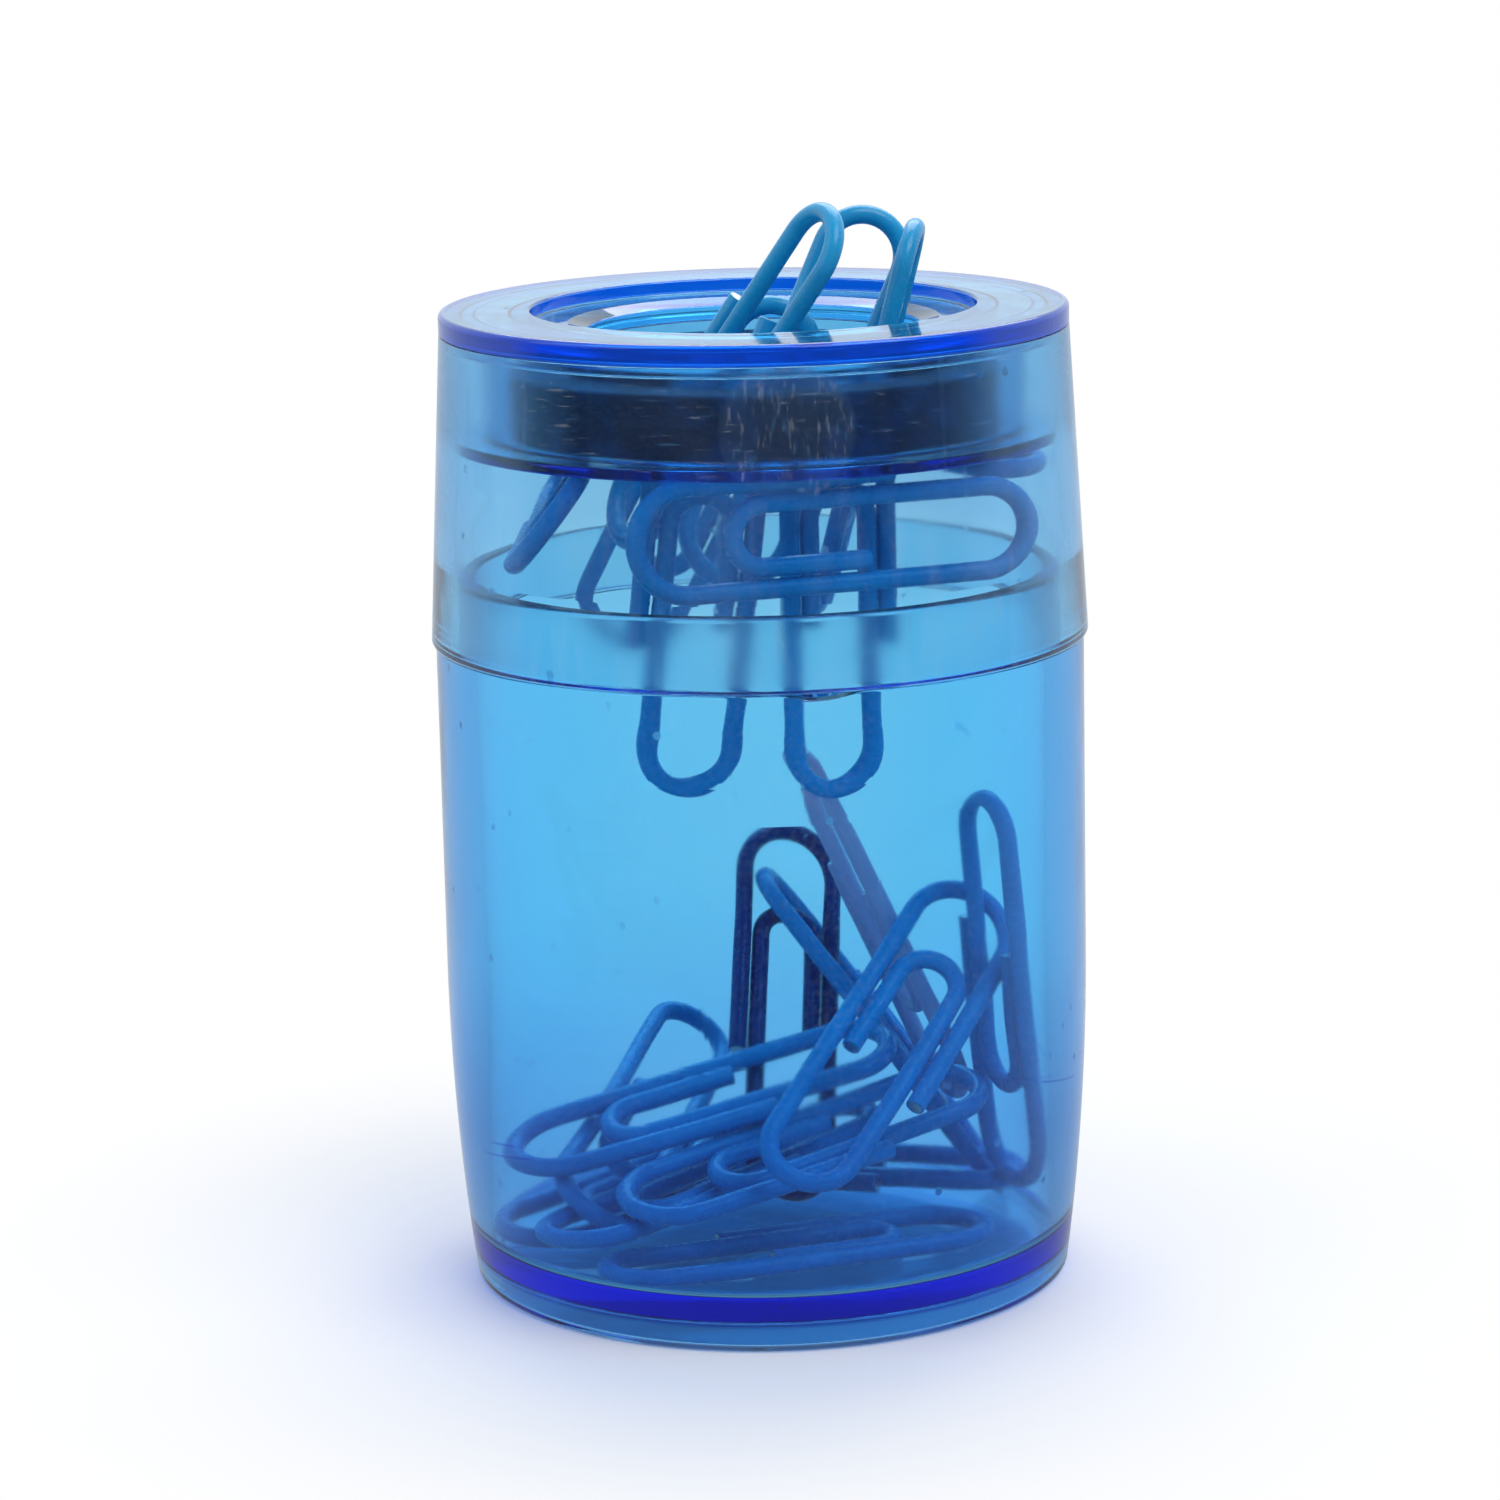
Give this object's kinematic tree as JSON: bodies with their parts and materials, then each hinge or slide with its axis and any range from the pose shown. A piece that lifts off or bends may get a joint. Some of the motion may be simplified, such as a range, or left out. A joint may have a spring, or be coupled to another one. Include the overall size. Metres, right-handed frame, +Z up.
{
  "type": "magnetic paper clip holder",
  "caption": "Round clear barrel in two halves with a ring magnet under its dished mouth; paper clips lie in the cup and cling round the opening.",
  "frame": {"origin": "centre of the foot ring, on the surface that the holder stands on", "axes": "+Z up through the mouth, -Y towards the front with the thumb notch, +X to the right seen from the front"},
  "size_m": [0.0446, 0.0446, 0.0742],
  "materials": {
    "clear_blue": "clear tinted, glossy",
    "clear_pale_blue": "clear tinted, glossy with fine scuffs",
    "magnet_black": "matt sintered",
    "clip_blue": "coated, satin",
    "clip_navy": "coated, satin",
    "clip_lilac": "coated, satin"
  },
  "bodies": {
    "base": {"base_cup": "clear_blue", "clip_floor_front": "clip_blue", "clip_floor_left": "clip_blue", "clip_floor_right": "clip_blue", "clip_low_front": "clip_blue", "clip_low_left": "clip_blue", "clip_back_left": "clip_blue", "clip_navy": "clip_navy", "clip_long_left": "clip_blue", "clip_wall_right": "clip_blue", "clip_lilac": "clip_lilac", "clip_back_right": "clip_blue", "clip_loop_front": "clip_blue"},
    "cap": {"cap_barrel": "clear_pale_blue", "top_plate": "clear_pale_blue", "magnet_tray": "clear_pale_blue", "ring_magnet": "magnet_black", "clip_throat_back": "clip_blue", "clip_hanging_left": "clip_blue", "clip_hanging_right": "clip_blue", "clip_tray_front": "clip_blue", "clip_tray_right": "clip_blue", "clip_tray_left": "clip_blue"},
    "mouth_left_clip": {"clip_mouth_left": "clip_blue"},
    "mouth_back_clip": {"clip_mouth_back": "clip_blue"},
    "mouth_right_clip": {"clip_mouth_right": "clip_blue"}
  },
  "joints": [
    {"name": "cap_lift", "type": "slide", "parent": "base", "child": "cap", "axis": [0, 0, 1], "range_m": [0, 0.03]},
    {"name": "mouth_left_clip_draw", "type": "slide", "parent": "cap", "child": "mouth_left_clip", "axis": [0.539, -0.1962, 0.8192], "range_m": [0, 0.025]},
    {"name": "mouth_back_clip_draw", "type": "slide", "parent": "cap", "child": "mouth_back_clip", "axis": [0.3978, 0.0846, 0.9135], "range_m": [0, 0.025]},
    {"name": "mouth_right_clip_draw", "type": "slide", "parent": "cap", "child": "mouth_right_clip", "axis": [0.2578, 0.0226, 0.9659], "range_m": [0, 0.025]}
  ]
}
